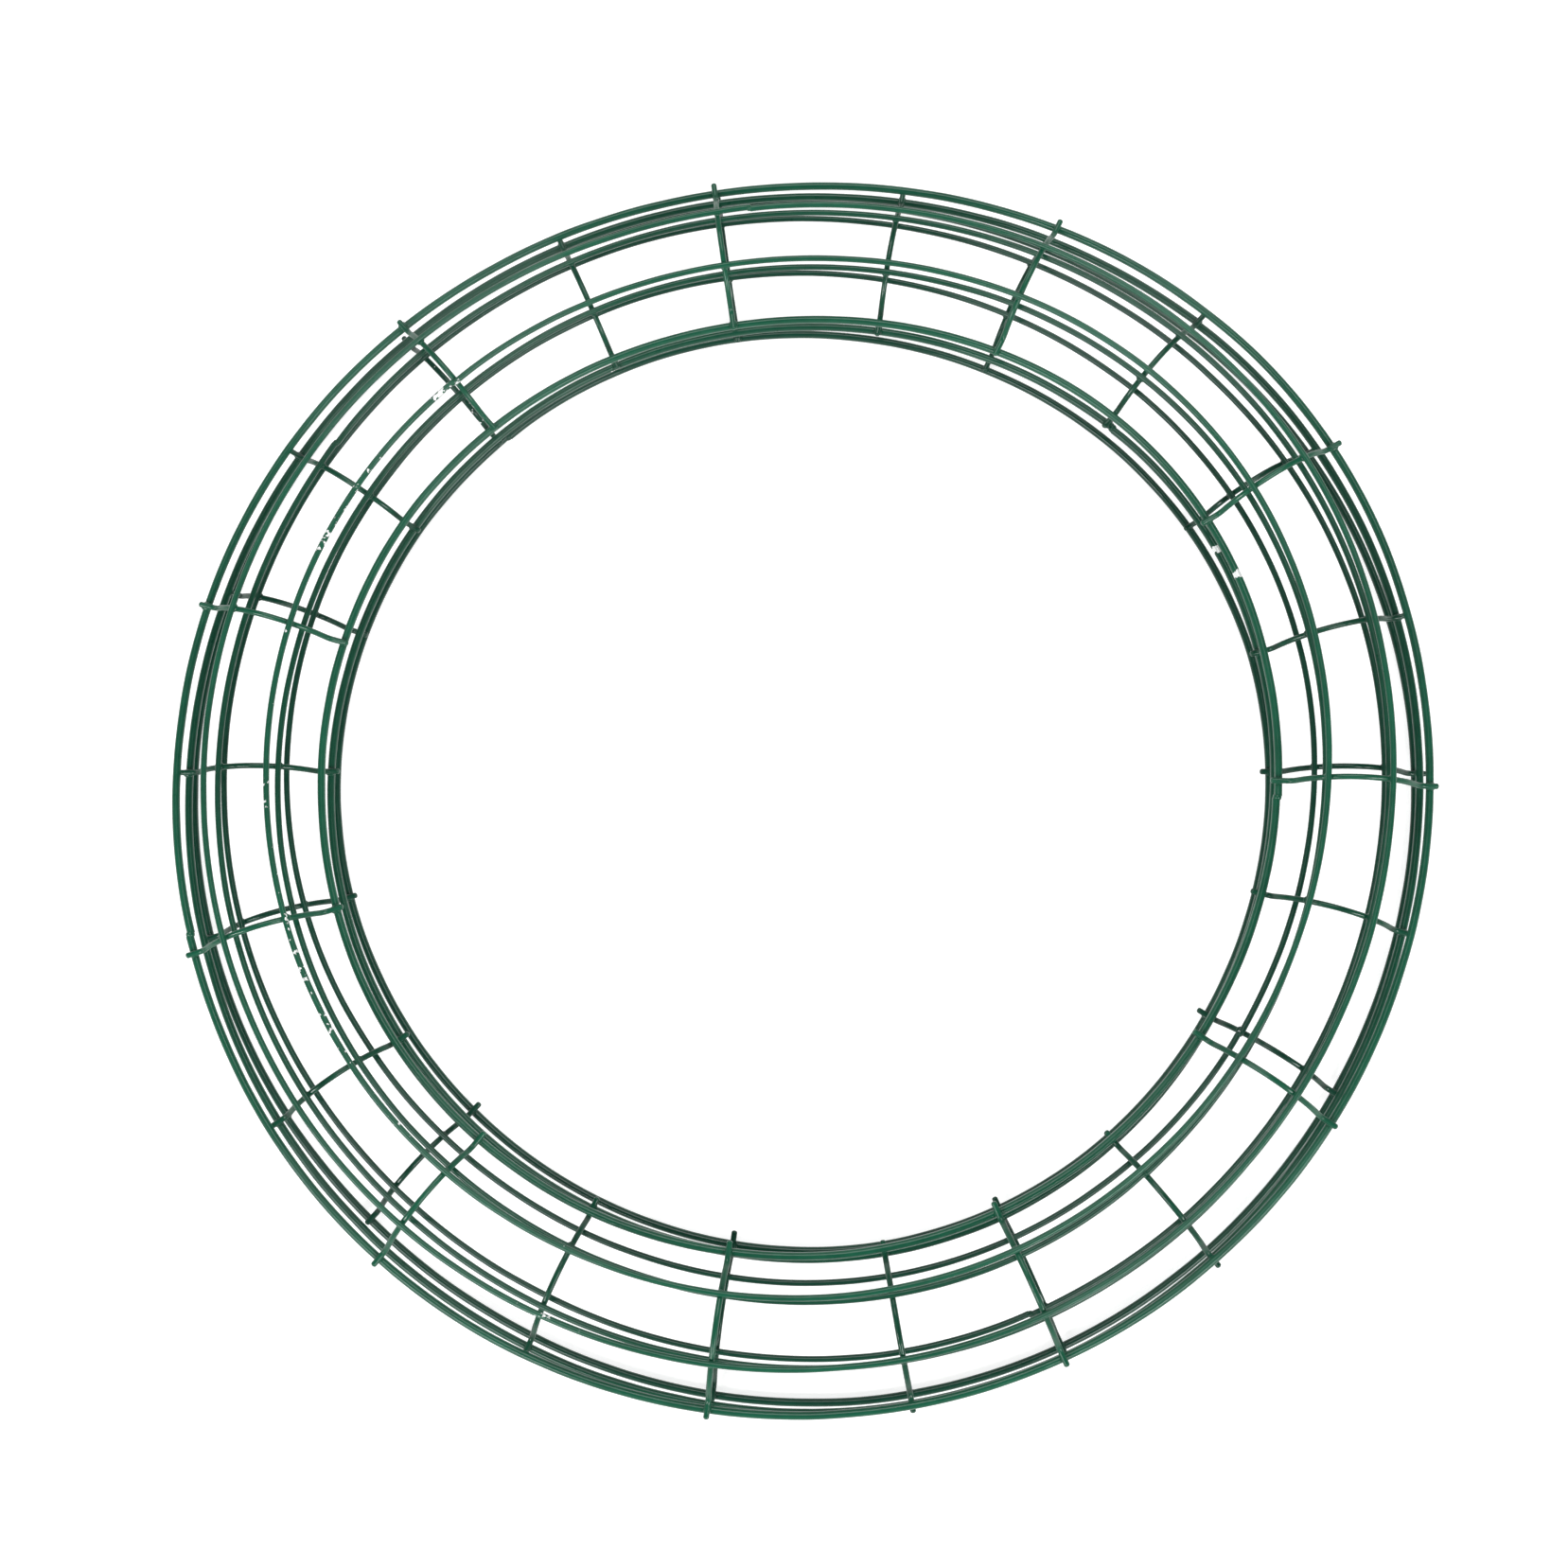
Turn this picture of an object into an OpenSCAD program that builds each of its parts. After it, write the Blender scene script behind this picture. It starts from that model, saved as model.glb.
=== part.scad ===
// A nested set of three welded wire wreath frames.
// Each frame has four rings and a row of arched cross bars. The outermost and innermost rings are
// welded under the flat feet of the bars, and the two middle rings lie on top of the arches.

/* [Rings] */
// Diameter of the outermost ring, to the middle of its wire
outer_ring_d = 302; // [240:2:420]
// Distance from the outermost ring to the innermost ring
band_w = 35.6; // [32:0.2:48]
// Distance from the outermost ring in to the first raised ring
outer_gap = 10.4; // [8.5:0.1:13]
// Distance from the innermost ring out to the second raised ring
inner_gap = 10.1; // [8.5:0.1:13]
// Wire diameter of the outermost and innermost rings
base_wire_d = 1.9; // [1.4:0.1:2.4]
// Wire diameter of the two raised rings
raised_wire_d = 1.45; // [1:0.05:2]

/* [Cross bars] */
// Number of cross bars in each frame
bar_count = 11; // [7:1:14]
// Wire diameter of the cross bars
bar_wire_d = 1.4; // [1:0.05:1.9]
// Height of the arch above the feet of the bar
arch_h = 8.5; // [6:0.1:10.5]
// Inside radius of the bend between a foot and the arch, to the middle of the wire
foot_bend_r = 3; // [2:0.1:4]
// How far a foot runs inward from its ring before it bends up
foot_inset = 1.2; // [0.8:0.1:2]
// How far a bar sticks out past the outermost ring
outer_tail = 2.1; // [1.6:0.1:4]
// How far a bar sticks out past the innermost ring
inner_tail = 2.5; // [1.6:0.1:4]
// Length of the blunted tip at each end of a bar
tip_len = 0.3; // [0.1:0.05:0.5]
// How far crossing wires sink into each other where they are welded
weld_sink = 0.12; // [0.05:0.01:0.15]
// Length of the tool mark round the wire where a bend starts
mark_len = 0.4; // [0.3:0.05:0.8]
// How far the tool mark stands out from the wire
mark_rise = 0.03; // [0.02:0.01:0.08]

/* [Nesting] */
// Clear height from the feet of one frame up to the rings of the next
nest_gap = 4; // [3.6:0.1:9]
// Turn of the middle frame on the bottom one, degrees
middle_turn = 16.5; // [0:0.5:32]
// Turn of the top frame on the bottom one, degrees
top_turn = 0; // [0:0.5:32]
// Sideways shift of the middle frame
middle_shift_x = 0.5; // [-1:0.1:1]
// Front to back shift of the middle frame
middle_shift_y = -1.8; // [-2:0.1:2]
// Sideways shift of the top frame
top_shift_x = 0; // [-1:0.1:1]
// Front to back shift of the top frame
top_shift_y = -2.1; // [-2.4:0.1:2]

/* [Hidden] */
$fn = 48;
ring_fn = 180;
bend_fn = 96;
LEVELS = ["bottom", "middle", "top"];
RINGS = ["outer_ring", "raised_outer_ring", "raised_inner_ring", "inner_ring"];
COLOURS = ["darkslategray", "darkgreen", "seagreen"];
levels = [0:len(LEVELS) - 1];
rings = [0:len(RINGS) - 1];
bars = [0:bar_count - 1];

// Place of each frame of the set
shift = [[0, 0], [middle_shift_x, middle_shift_y], [top_shift_x, top_shift_y]];
turn = [0, middle_turn, top_turn];

// The bars are set by hand, so each stands off its even place by a small angle. In each frame that
// angle is the sum of two swings, and a swing is [its size, its waves round the frame, its start].
uneven = [
    [[1, 5, 200], [0.8, 2, 210]],
    [[1.3, 5, 240], [1.3, 1, 235]],
    [[1.8, 1, 255], [0.4, 2, 290]]
];
bar_pitch = 360 / bar_count;
function swing_angle(swing, n) = swing[0] * sin(swing[1] * n * bar_pitch + swing[2]);
function bar_angle(level, n) =
    n * bar_pitch + swing_angle(uneven[level][0], n) + swing_angle(uneven[level][1], n);

// Radii of the four rings, and the radius that the arches stand on
outer_r = outer_ring_d / 2;
inner_r = outer_r - band_w;
crown_r = (outer_r + inner_r) / 2;
ring_r = [outer_r, outer_r - outer_gap, inner_r + inner_gap, inner_r];
ring_wire_d = [base_wire_d, raised_wire_d, raised_wire_d, base_wire_d];

// The arch is one arc that meets a bend at each foot. Both are tangent where they meet.
foot_z = base_wire_d + bar_wire_d / 2 - weld_sink;
foot_x = band_w / 2 - foot_inset;
arch_r = (foot_x * foot_x + arch_h * arch_h) / (2 * arch_h) - foot_bend_r;
arch_z = foot_z + arch_h - arch_r;
bend_angle = asin(foot_x / (arch_r + foot_bend_r));

// The arch and the bend each stop short under the tool mark, by a quarter of its length.
mark_cover = mark_len / 4;
function arc_degrees(length, r) = length / r * 180 / PI;
arch_trim = arc_degrees(mark_cover, arch_r);
bend_trim = arc_degrees(mark_cover, foot_bend_r);

// A raised ring rests on the arch, so its height follows from its radius.
seat_r = arch_r + (bar_wire_d + raised_wire_d) / 2 - weld_sink;
function raised_z(r) = arch_z + sqrt(seat_r * seat_r - (r - crown_r) * (r - crown_r));
ring_z = [base_wire_d / 2, raised_z(ring_r[1]), raised_z(ring_r[2]), base_wire_d / 2];

// Each frame's base rings stand above the feet of the frame below.
nest_pitch = foot_z + bar_wire_d / 2 + nest_gap;

function ring_name(level, n) = str(LEVELS[level], "_", RINGS[n]);
function bar_name(level, n) = str(LEVELS[level], "_bar_", n < 9 ? "0" : "", n + 1);

// Puts one frame of the set in its place in the nest
module place(level) {
    translate([shift[level].x, shift[level].y, level * nest_pitch])
        rotate([0, 0, turn[level]])
            color(COLOURS[level]) children();
}

// One ring, a hoop of round wire
module ring(n) {
    translate([0, 0, ring_z[n]])
        rotate_extrude($fn = ring_fn)
            translate([ring_r[n], 0]) circle(d = ring_wire_d[n]);
}

// A bend in the bar's wire, about a centre in the XZ plane, from one angle up through another
module wire_arc(x, z, r, start, sweep) {
    translate([x, 0, z])
        rotate([90, 0, 0])
            rotate_extrude(angle = sweep, start = start, $fn = bend_fn)
                translate([r, 0]) circle(d = bar_wire_d);
}

// One foot, a straight end of the bar with a blunted tip, from the bend outward along X
module foot(tail) {
    straight = foot_inset + tail - tip_len;
    translate([foot_x, 0, foot_z])
        rotate([0, 90, 0]) {
            cylinder(d = bar_wire_d, h = straight);
            translate([0, 0, straight])
                cylinder(d1 = bar_wire_d, d2 = bar_wire_d - 2 * tip_len, h = tip_len);
        }
}

// The tool mark, a low band that covers the place where the arch runs into a bend
module bend_mark() {
    translate([arch_r * sin(bend_angle), 0, arch_z + arch_r * cos(bend_angle)])
        rotate([0, 90 + bend_angle, 0])
            cylinder(d = bar_wire_d + 2 * mark_rise, h = mark_len, center = true);
}

// One bent end of a bar, with its mark, its bend and its foot, on the side that X points to
module bar_end(tail) {
    bend_mark();
    bend_sweep = bend_angle - bend_trim;
    wire_arc(foot_x, foot_z + foot_bend_r, foot_bend_r, 270 - bend_sweep, bend_sweep);
    foot(tail);
}

// One cross bar, with its arch standing over the middle of the band
module bar() {
    translate([crown_r, 0, 0]) {
        wire_arc(0, arch_z, arch_r, 90 - bend_angle + arch_trim, 2 * (bend_angle - arch_trim));
        bar_end(outer_tail);
        rotate([0, 0, 180]) bar_end(inner_tail);
    }
}

module frame_ring(level, n) {
    place(level) ring(n);
}

module frame_bar(level, n) {
    place(level) rotate([0, 0, bar_angle(level, n)]) bar();
}

for (level = levels, n = rings)
    frame_ring(level, n);
for (level = levels, n = bars)
    frame_bar(level, n);
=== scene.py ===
"""Looks of a nested set of three welded wire wreath frames.

The file is laid out as an add-on and is run as a script. Lengths are in metres and angles in radians,
unless a name says degrees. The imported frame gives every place: each of its wires is drawn again as
hand-bent, enamelled wire, with the welds that hold it, and rides on the body that it belongs to.
"""

import math

import bpy
from bpy.props import FloatProperty, FloatVectorProperty, IntProperty, PointerProperty
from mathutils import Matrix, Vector


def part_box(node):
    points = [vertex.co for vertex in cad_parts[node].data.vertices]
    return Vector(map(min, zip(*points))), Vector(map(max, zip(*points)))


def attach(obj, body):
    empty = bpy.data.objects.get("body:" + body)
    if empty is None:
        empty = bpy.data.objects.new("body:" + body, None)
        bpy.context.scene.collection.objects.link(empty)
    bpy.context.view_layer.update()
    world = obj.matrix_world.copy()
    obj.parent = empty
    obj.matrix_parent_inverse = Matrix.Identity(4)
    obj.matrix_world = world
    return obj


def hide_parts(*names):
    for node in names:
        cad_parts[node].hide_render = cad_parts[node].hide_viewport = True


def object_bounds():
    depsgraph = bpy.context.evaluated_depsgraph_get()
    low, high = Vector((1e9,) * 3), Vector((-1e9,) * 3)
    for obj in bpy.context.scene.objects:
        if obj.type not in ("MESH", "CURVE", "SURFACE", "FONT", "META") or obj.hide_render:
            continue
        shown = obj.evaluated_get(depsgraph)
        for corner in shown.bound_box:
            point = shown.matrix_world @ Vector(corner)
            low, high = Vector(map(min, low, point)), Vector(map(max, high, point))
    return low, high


bl_info = {
    "name": "Wreath Frame Looks",
    "version": (1, 0, 0),
    "blender": (4, 5, 0),
    "location": "3D View > Sidebar > Wreath",
    "description": "Draws a nested set of enamelled wire wreath frames round their packed design",
    "category": "Object",
}

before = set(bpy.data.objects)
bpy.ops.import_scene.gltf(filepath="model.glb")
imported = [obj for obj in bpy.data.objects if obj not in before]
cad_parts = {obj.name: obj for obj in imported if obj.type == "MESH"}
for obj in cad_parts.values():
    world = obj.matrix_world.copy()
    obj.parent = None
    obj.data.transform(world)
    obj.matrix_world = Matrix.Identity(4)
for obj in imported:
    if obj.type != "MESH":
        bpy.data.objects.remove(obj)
CAD_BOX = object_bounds()

MM = 0.001
TURN = 2 * math.pi
WHITE = (1.0, 1.0, 1.0, 1.0)

LEVELS = ("bottom", "middle", "top")
RING_KINDS = ("outer_ring", "raised_outer_ring", "raised_inner_ring", "inner_ring")
BARS = range(1, 12)

# A bar's tool marks stand this far out of its wire in the design.
TOOL_MARK = 0.03 * MM

# Share of the wire's section that a dome closes, because a tip of no radius has no faces.
TIP_TAPER = 0.9

# How a frame has been bent out of round by hand: how far it bulges, in millimetres, and towards which
# side, in degrees, with two, three and four bulges round the frame.
HAND_BEND = {
    "bottom": ((0.45, 285), (0.45, 110), (0.25, 80)),
    "middle": ((0.35, 125), (0.7, 125), (0.35, 135)),
    "top": ((0.8, 65), (0.75, 115), (0.4, 180)),
}

# Where a ring's ends meet, in degrees, then how far it sits off centre, in millimetres, and towards
# which side, in degrees, and how much bigger its radius is than the design's, in millimetres.
RING_HABITS = {
    "bottom_outer_ring": (215, 0.5, 225, -0.05),
    "bottom_raised_outer_ring": (293, 0.5, 60, 0.35),
    "bottom_raised_inner_ring": (328, 1.4, 100, -0.6),
    "bottom_inner_ring": (131, 1.3, 280, -0.15),
    "middle_outer_ring": (49, 0.4, 215, -0.4),
    "middle_raised_outer_ring": (145, 0.7, 80, 0.1),
    "middle_raised_inner_ring": (310, 0.6, 80, 0.45),
    "middle_inner_ring": (48, 0.7, 285, 0.15),
    "top_outer_ring": (196, 0.1, 285, -0.1),
    "top_raised_outer_ring": (95, 0.7, 125, 0),
    "top_raised_inner_ring": (132, 1.2, 100, 0.15),
    "top_inner_ring": (356, 0.4, 295, -0.15),
}

# Where the enamel has been knocked off: the direction and the spread of each place, in degrees, and
# how much is gone, from 0 to 1 or a little more where the metal is bare right across the wire.
WORN_PLACES = 4
WORN = {
    "top_raised_inner_ring": ((133.5, 3, 1.1), (148, 12, 0.62), (155, 2, 1.2), (200, 48, 0.58)),
    "top_raised_outer_ring": ((246, 9, 0.55),),
    "top_inner_ring": ((23.5, 0.7, 1.6),),
    "middle_inner_ring": ((28, 0.7, 1.6), (115, 1, 0.7)),
    "bottom_raised_inner_ring": ((328, 2, 0.6),),
    "middle_bars": ((126, 4, 0.7),),
    "bottom_bars": ((131, 4, 0.5),),
}


class WreathWires(bpy.types.PropertyGroup):
    """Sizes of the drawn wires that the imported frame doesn't give"""

    foot_bend_radius: FloatProperty(
        name="Foot bend", description="Radius of the bend between a bar's foot and its arch",
        default=3 * MM, min=2 * MM, max=4 * MM, subtype="DISTANCE", unit="LENGTH")
    foot_inset: FloatProperty(
        name="Foot inset", description="How far a foot runs inward from its ring before the bend",
        default=1.2 * MM, min=0.8 * MM, max=2 * MM, subtype="DISTANCE", unit="LENGTH")
    tip_length: FloatProperty(
        name="Tip", description="Length over which the enamel rounds off the end of a wire",
        default=0.5 * MM, min=0.1 * MM, max=1 * MM, subtype="DISTANCE", unit="LENGTH")
    seam_step: FloatProperty(
        name="Seam step", description="How far a ring's two ends miss each other where they meet",
        default=0.45 * MM, min=0, max=1 * MM, subtype="DISTANCE", unit="LENGTH")
    seam_fade: FloatProperty(
        name="Seam fade", description="Length over which a ring comes back to its round from its seam",
        default=7 * MM, min=1 * MM, max=30 * MM, subtype="DISTANCE", unit="LENGTH")
    waviness: FloatProperty(
        name="Waviness", description="How far a ring wanders between two bars",
        default=0.3 * MM, min=0, max=2 * MM, subtype="DISTANCE", unit="LENGTH")
    bar_waviness: FloatProperty(
        name="Bar waviness", description="How far a bar wanders from its flat arch",
        default=0.2 * MM, min=0, max=1 * MM, subtype="DISTANCE", unit="LENGTH")
    thickness_change: FloatProperty(
        name="Thickness change", description="Share by which the enamel makes a wire thicker or thinner",
        default=0.05, min=0, max=0.2, subtype="FACTOR")
    bar_length_change: FloatProperty(
        name="Bar length change", description="Share by which some bars are shorter than others",
        default=0.03, min=0, max=0.05, subtype="FACTOR")
    bead_spread: FloatProperty(
        name="Weld bead", description="How far a weld's bead of metal and enamel reaches out of the wires",
        default=0.32 * MM, min=0, max=1 * MM, subtype="DISTANCE", unit="LENGTH")
    ring_points: IntProperty(
        name="Ring points", description="Points along a ring", default=720, min=180, max=2000)
    bar_points: IntProperty(
        name="Bar points", description="Points along a bar", default=150, min=40, max=400)
    sides: IntProperty(
        name="Sides", description="Flat sides round a wire, which are shaded smooth",
        default=16, min=8, max=32)


class WreathEnamel(bpy.types.PropertyGroup):
    """Colours and gloss of the enamel. The three frames' colours are one green, with painted shade making
    the lower frames darker.
    """

    # Painted shade: the same green enamel is drawn darker the lower its frame lies, so the bottom frame is
    # darkest and the top frame is the lit copy.
    bottom_colour: FloatVectorProperty(
        name="Bottom frame", description="Enamel colour of the bottom frame",
        default=(0.0034, 0.041, 0.023), min=0, max=1, size=3, subtype="COLOR")
    middle_colour: FloatVectorProperty(
        name="Middle frame", description="Enamel colour of the middle frame",
        default=(0.0048, 0.056, 0.030), min=0, max=1, size=3, subtype="COLOR")
    top_colour: FloatVectorProperty(
        name="Top frame", description="Enamel colour of the top frame",
        default=(0.0066, 0.080, 0.042), min=0, max=1, size=3, subtype="COLOR")
    metal_colour: FloatVectorProperty(
        name="Bare metal", description="Colour of the zinc under knocked-off enamel",
        default=(0.82, 0.84, 0.83), min=0, max=1, size=3, subtype="COLOR")
    mottling: FloatProperty(
        name="Mottling", description="How much lighter and darker the enamel is from place to place",
        default=0.35, min=0, max=1, subtype="FACTOR")
    gloss_roughness: FloatProperty(
        name="Gloss roughness", description="Roughness of the enamel's glossy top layer",
        default=0.08, min=0.02, max=0.6, subtype="FACTOR")


class WreathStage(bpy.types.PropertyGroup):
    """Camera, lights and floor"""

    camera_place: FloatVectorProperty(
        name="Camera place", description="Where the camera stands",
        default=(0.0236, -0.0976, 0.5056), size=3, subtype="TRANSLATION", unit="LENGTH")
    camera_lean: FloatVectorProperty(
        name="Camera lean", description="Lean of the camera from straight down, back and then sideways",
        default=(math.radians(10.48), math.radians(3.0)), size=2, unit="ROTATION")
    camera_lens: FloatProperty(
        name="Lens", description="Focal length of the camera, on a sensor 36 mm wide",
        default=47.7, min=10, max=300)
    floor_gap: FloatProperty(
        name="Floor gap", description="Gap from the design's lowest point down to the floor",
        default=0.4 * MM, min=0, max=5 * MM, subtype="DISTANCE", unit="LENGTH")
    floor_colour: FloatVectorProperty(
        name="Floor", description="Colour of the floor and the sweep behind it",
        default=(0.5, 0.5, 0.497), min=0, max=1, size=3, subtype="COLOR")
    front_power: FloatProperty(
        name="Front lights", description="Power of each of the two lights in front",
        default=12, min=0, max=100, unit="POWER")
    back_power: FloatProperty(
        name="Back light", description="Power of the wide light above and behind",
        default=10, min=0, max=100, unit="POWER")
    floor_glow: FloatProperty(
        name="Floor glow", description="Strength of the light that comes up through the floor",
        default=0.75, min=0, max=5)
    sky_strength: FloatProperty(
        name="Sky", description="Strength of the even light from all round", default=0.03, min=0, max=5)


class Term:
    """A number in a node tree. Each sum, product or power of it adds one Math node."""

    def __init__(self, plan, socket):
        self.plan = plan
        self.socket = socket

    def __add__(self, other):
        return self.plan.math("ADD", self, other)

    def __sub__(self, other):
        return self.plan.math("SUBTRACT", self, other)

    def __rsub__(self, other):
        return self.plan.math("SUBTRACT", other, self)

    def __mul__(self, other):
        return self.plan.math("MULTIPLY", self, other)

    def __truediv__(self, other):
        return self.plan.math("DIVIDE", self, other)

    def __pow__(self, other):
        return self.plan.math("POWER", self, other)

    __radd__ = __add__
    __rmul__ = __mul__


class Plan:
    """Writes a node tree as formulas."""

    def __init__(self, tree):
        self.tree = tree

    def feed(self, socket, value):
        """Sets an input, or links it where the value comes from another node."""
        if isinstance(value, bpy.types.Node):
            value = value.outputs[0]
        if isinstance(value, Term):
            value = value.socket
        if isinstance(value, bpy.types.NodeSocket):
            self.tree.links.new(value, socket)
        else:
            socket.default_value = value

    def node(self, kind, inputs=None, **settings):
        """Adds a node with its settings and its inputs, which go by name or by number."""
        made = self.tree.nodes.new(kind)
        for name, value in settings.items():
            setattr(made, name, value)
        for key, value in (inputs or {}).items():
            if isinstance(key, str):
                socket = next(s for s in made.inputs if s.enabled and s.name == key)
            else:
                socket = made.inputs[key]
            self.feed(socket, value)
        return made

    def math(self, operation, *values):
        made = self.node("ShaderNodeMath", dict(enumerate(values)), operation=operation)
        return Term(self, made.outputs[0])

    def sin(self, value):
        return self.math("SINE", value)

    def cos(self, value):
        return self.math("COSINE", value)

    def root(self, value):
        return self.math("SQRT", value)

    def least(self, first, second):
        return self.math("MINIMUM", first, second)

    def most(self, first, second):
        return self.math("MAXIMUM", first, second)

    def vector(self, x=0.0, y=0.0, z=0.0):
        return self.node("ShaderNodeCombineXYZ", {0: x, 1: y, 2: z}).outputs[0]

    def position(self):
        return self.node("GeometryNodeInputPosition").outputs[0]

    def angle_from(self, hub):
        """The angle about the Z axis at which each point lies from the hub."""
        from_hub = self.node("ShaderNodeVectorMath", {0: self.position(), 1: hub}, operation="SUBTRACT")
        x, y, _ = self.parts(from_hub)
        return self.math("ARCTAN2", y, x)

    def turned(self, angle):
        """A turn about the Z axis."""
        return self.node("FunctionNodeAxisAngleToRotation", {"Axis": (0.0, 0.0, 1.0), "Angle": angle})

    def mixed(self, factor, first, second, blend="MIX"):
        """Two colours, mixed by a factor."""
        inputs = {"Factor": factor, "A": first, "B": second}
        made = self.node("ShaderNodeMix", inputs, data_type="RGBA", blend_type=blend)
        return next(s for s in made.outputs if s.enabled)

    def lit(self, colour_and_shade, light):
        """A colour times a number, which makes it lighter or darker."""
        return self.mixed(1.0, (*colour_and_shade, 1.0), self.vector(light, light, light), "MULTIPLY")

    def parts(self, vector):
        """The three numbers of a vector or a colour."""
        split = self.node("ShaderNodeSeparateXYZ", {0: vector})
        return [Term(self, socket) for socket in split.outputs]

    def noise(self, vector, scale, detail=2.0, roughness=0.5):
        """Three smooth random numbers about zero, each from about -0.5 to 0.5, that follow a vector."""
        inputs = {"Vector": vector, "Scale": scale, "Detail": detail, "Roughness": roughness}
        made = self.node("ShaderNodeTexNoise", inputs, noise_dimensions="3D")
        return [part - 0.5 for part in self.parts(made.outputs["Color"])]

    def between(self, value, low, high, low_result=0.0, high_result=1.0):
        """Runs smoothly from one result to the other as the value goes from low to high."""
        inputs = {"Value": value, "From Min": low, "From Max": high}
        inputs.update({"To Min": low_result, "To Max": high_result})
        made = self.node("ShaderNodeMapRange", inputs, interpolation_type="SMOOTHSTEP")
        return Term(self, made.outputs[0])

    def rounded_end(self, distance, tip):
        """Share of a wire's radius at a distance from its end, so that the end is a dome."""
        left = 1.0 - self.least(distance / tip, 1.0)
        return self.root(1.0 - left * left * TIP_TAPER)


FLOAT, VECTOR, WHOLE = "NodeSocketFloat", "NodeSocketVector", "NodeSocketInt"
BEND_INPUTS = {"Two Bulges": 2, "Three Bulges": 3, "Four Bulges": 4}
FINISH_INPUTS = {
    "Hub": VECTOR, **{label: VECTOR for label in BEND_INPUTS},
    **{f"Worn {n + 1}": VECTOR for n in range(WORN_PLACES)}, "Material": "NodeSocketMaterial",
}


def geometry_plan(name, inputs):
    """A new Geometry Nodes tree with these inputs, the plan that writes it and its inputs as terms."""
    tree = bpy.data.node_groups.new(name, "GeometryNodeTree")
    tree.interface.new_socket("Geometry", in_out="INPUT", socket_type="NodeSocketGeometry")
    for label, kind in inputs.items():
        tree.interface.new_socket(label, in_out="INPUT", socket_type=kind)
    tree.interface.new_socket("Geometry", in_out="OUTPUT", socket_type="NodeSocketGeometry")
    plan = Plan(tree)
    given = plan.node("NodeGroupInput")
    return plan, {socket.name: Term(plan, socket) for socket in given.outputs if socket.name}


def finish_tree():
    """The last steps of every wire: bend the frame by hand, mark its worn places and enamel it."""
    plan, given = geometry_plan("Wire finish", FINISH_INPUTS)
    angle = plan.angle_from(given["Hub"])

    push = 0.0
    for label, bulges in BEND_INPUTS.items():
        distance, towards, _ = plan.parts(given[label])
        push = distance * plan.cos(bulges * angle - towards) + push
    offset = plan.vector(plan.cos(angle) * push, plan.sin(angle) * push)
    bent = plan.node("GeometryNodeSetPosition", {"Geometry": given["Geometry"], "Offset": offset})

    worn = 0.0
    for place in range(WORN_PLACES):
        direction, spread, amount = plan.parts(given[f"Worn {place + 1}"])
        away = plan.math("ARCCOSINE", plan.cos(angle - direction)) / plan.most(spread, MM)
        worn = plan.most(worn, amount * (1.0 - plan.least(away * away, 1.0)))
    inputs = {"Geometry": bent, "Name": "worn", "Value": worn}
    marked = plan.node("GeometryNodeStoreNamedAttribute", inputs, data_type="FLOAT", domain="POINT")
    real = plan.node("GeometryNodeRealizeInstances", {"Geometry": marked})
    smooth = plan.node("GeometryNodeSetShadeSmooth", {"Geometry": real})
    enamelled = plan.node("GeometryNodeSetMaterial", {"Geometry": smooth, "Material": given["Material"]})
    plan.node("NodeGroupOutput", {"Geometry": enamelled})
    return plan.tree


def close_with_finish(plan, given, geometry):
    """Ends a wire's tree with the finish tree, which takes the inputs of the same names."""
    finish = plan.node("GeometryNodeGroup", node_tree=bpy.data.node_groups["Wire finish"])
    plan.feed(finish.inputs["Geometry"], geometry)
    for label in FINISH_INPUTS:
        plan.feed(finish.inputs[label], given[label])
    real = plan.node("GeometryNodeRealizeInstances", {"Geometry": finish})
    enamelled = plan.node("GeometryNodeSetMaterial", {"Geometry": real, "Material": given["Material"]})
    plan.node("NodeGroupOutput", {"Geometry": enamelled})


def swept_wire(plan, path, wire, sides, thickness):
    """A round wire along a path, closed at both ends."""
    section = plan.node("GeometryNodeCurvePrimitiveCircle", {"Resolution": sides, "Radius": wire / 2})
    return plan.node("GeometryNodeCurveToMesh", {
        "Curve": path, "Profile Curve": section, "Scale": thickness, "Fill Caps": True})


def straight_path(plan, points):
    """An open curve of so many points, and each point's place in their row, from 0 to 1."""
    line = plan.node("GeometryNodeCurvePrimitiveLine", {"End": (1.0, 0.0, 0.0)})
    path = plan.node("GeometryNodeResampleCurve", {"Curve": line, "Count": points})
    share = Term(plan, plan.node("GeometryNodeInputIndex").outputs[0]) / (points - 1.0)
    return path, share


# Ring points crowd to the seam by this share, so that its step and its tips are finely drawn.
SEAM_CROWDING = 0.9
# A ring wanders over about this length, and less up and down than in and out.
WANDER_LENGTH = 38 * MM
UP_AND_DOWN_SHARE = 0.4
# The enamel's thickness changes over about this length.
THICKNESS_LENGTH = 9 * MM
# The noise of a ring's thickness is this far from the noise of its wander.
THICKNESS_SEED = 7.0
# The bead over a ring's seam, as shares of the wire: its half length, and its half width.
SEAM_BEAD_LENGTH, SEAM_BEAD_WIDTH = 0.55, 0.56
# Segments round a bead and rings from pole to pole, for a seam's bead and for a weld's.
SEAM_BEAD_FACES, WELD_BEAD_FACES = (20, 12), (12, 8)


def unit_bead(plan, faces):
    """A round bead with a radius of one, to be squeezed to its size."""
    segments, rings = faces
    return plan.node("GeometryNodeMeshUVSphere", {"Segments": segments, "Rings": rings, "Radius": 1.0})


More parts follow.
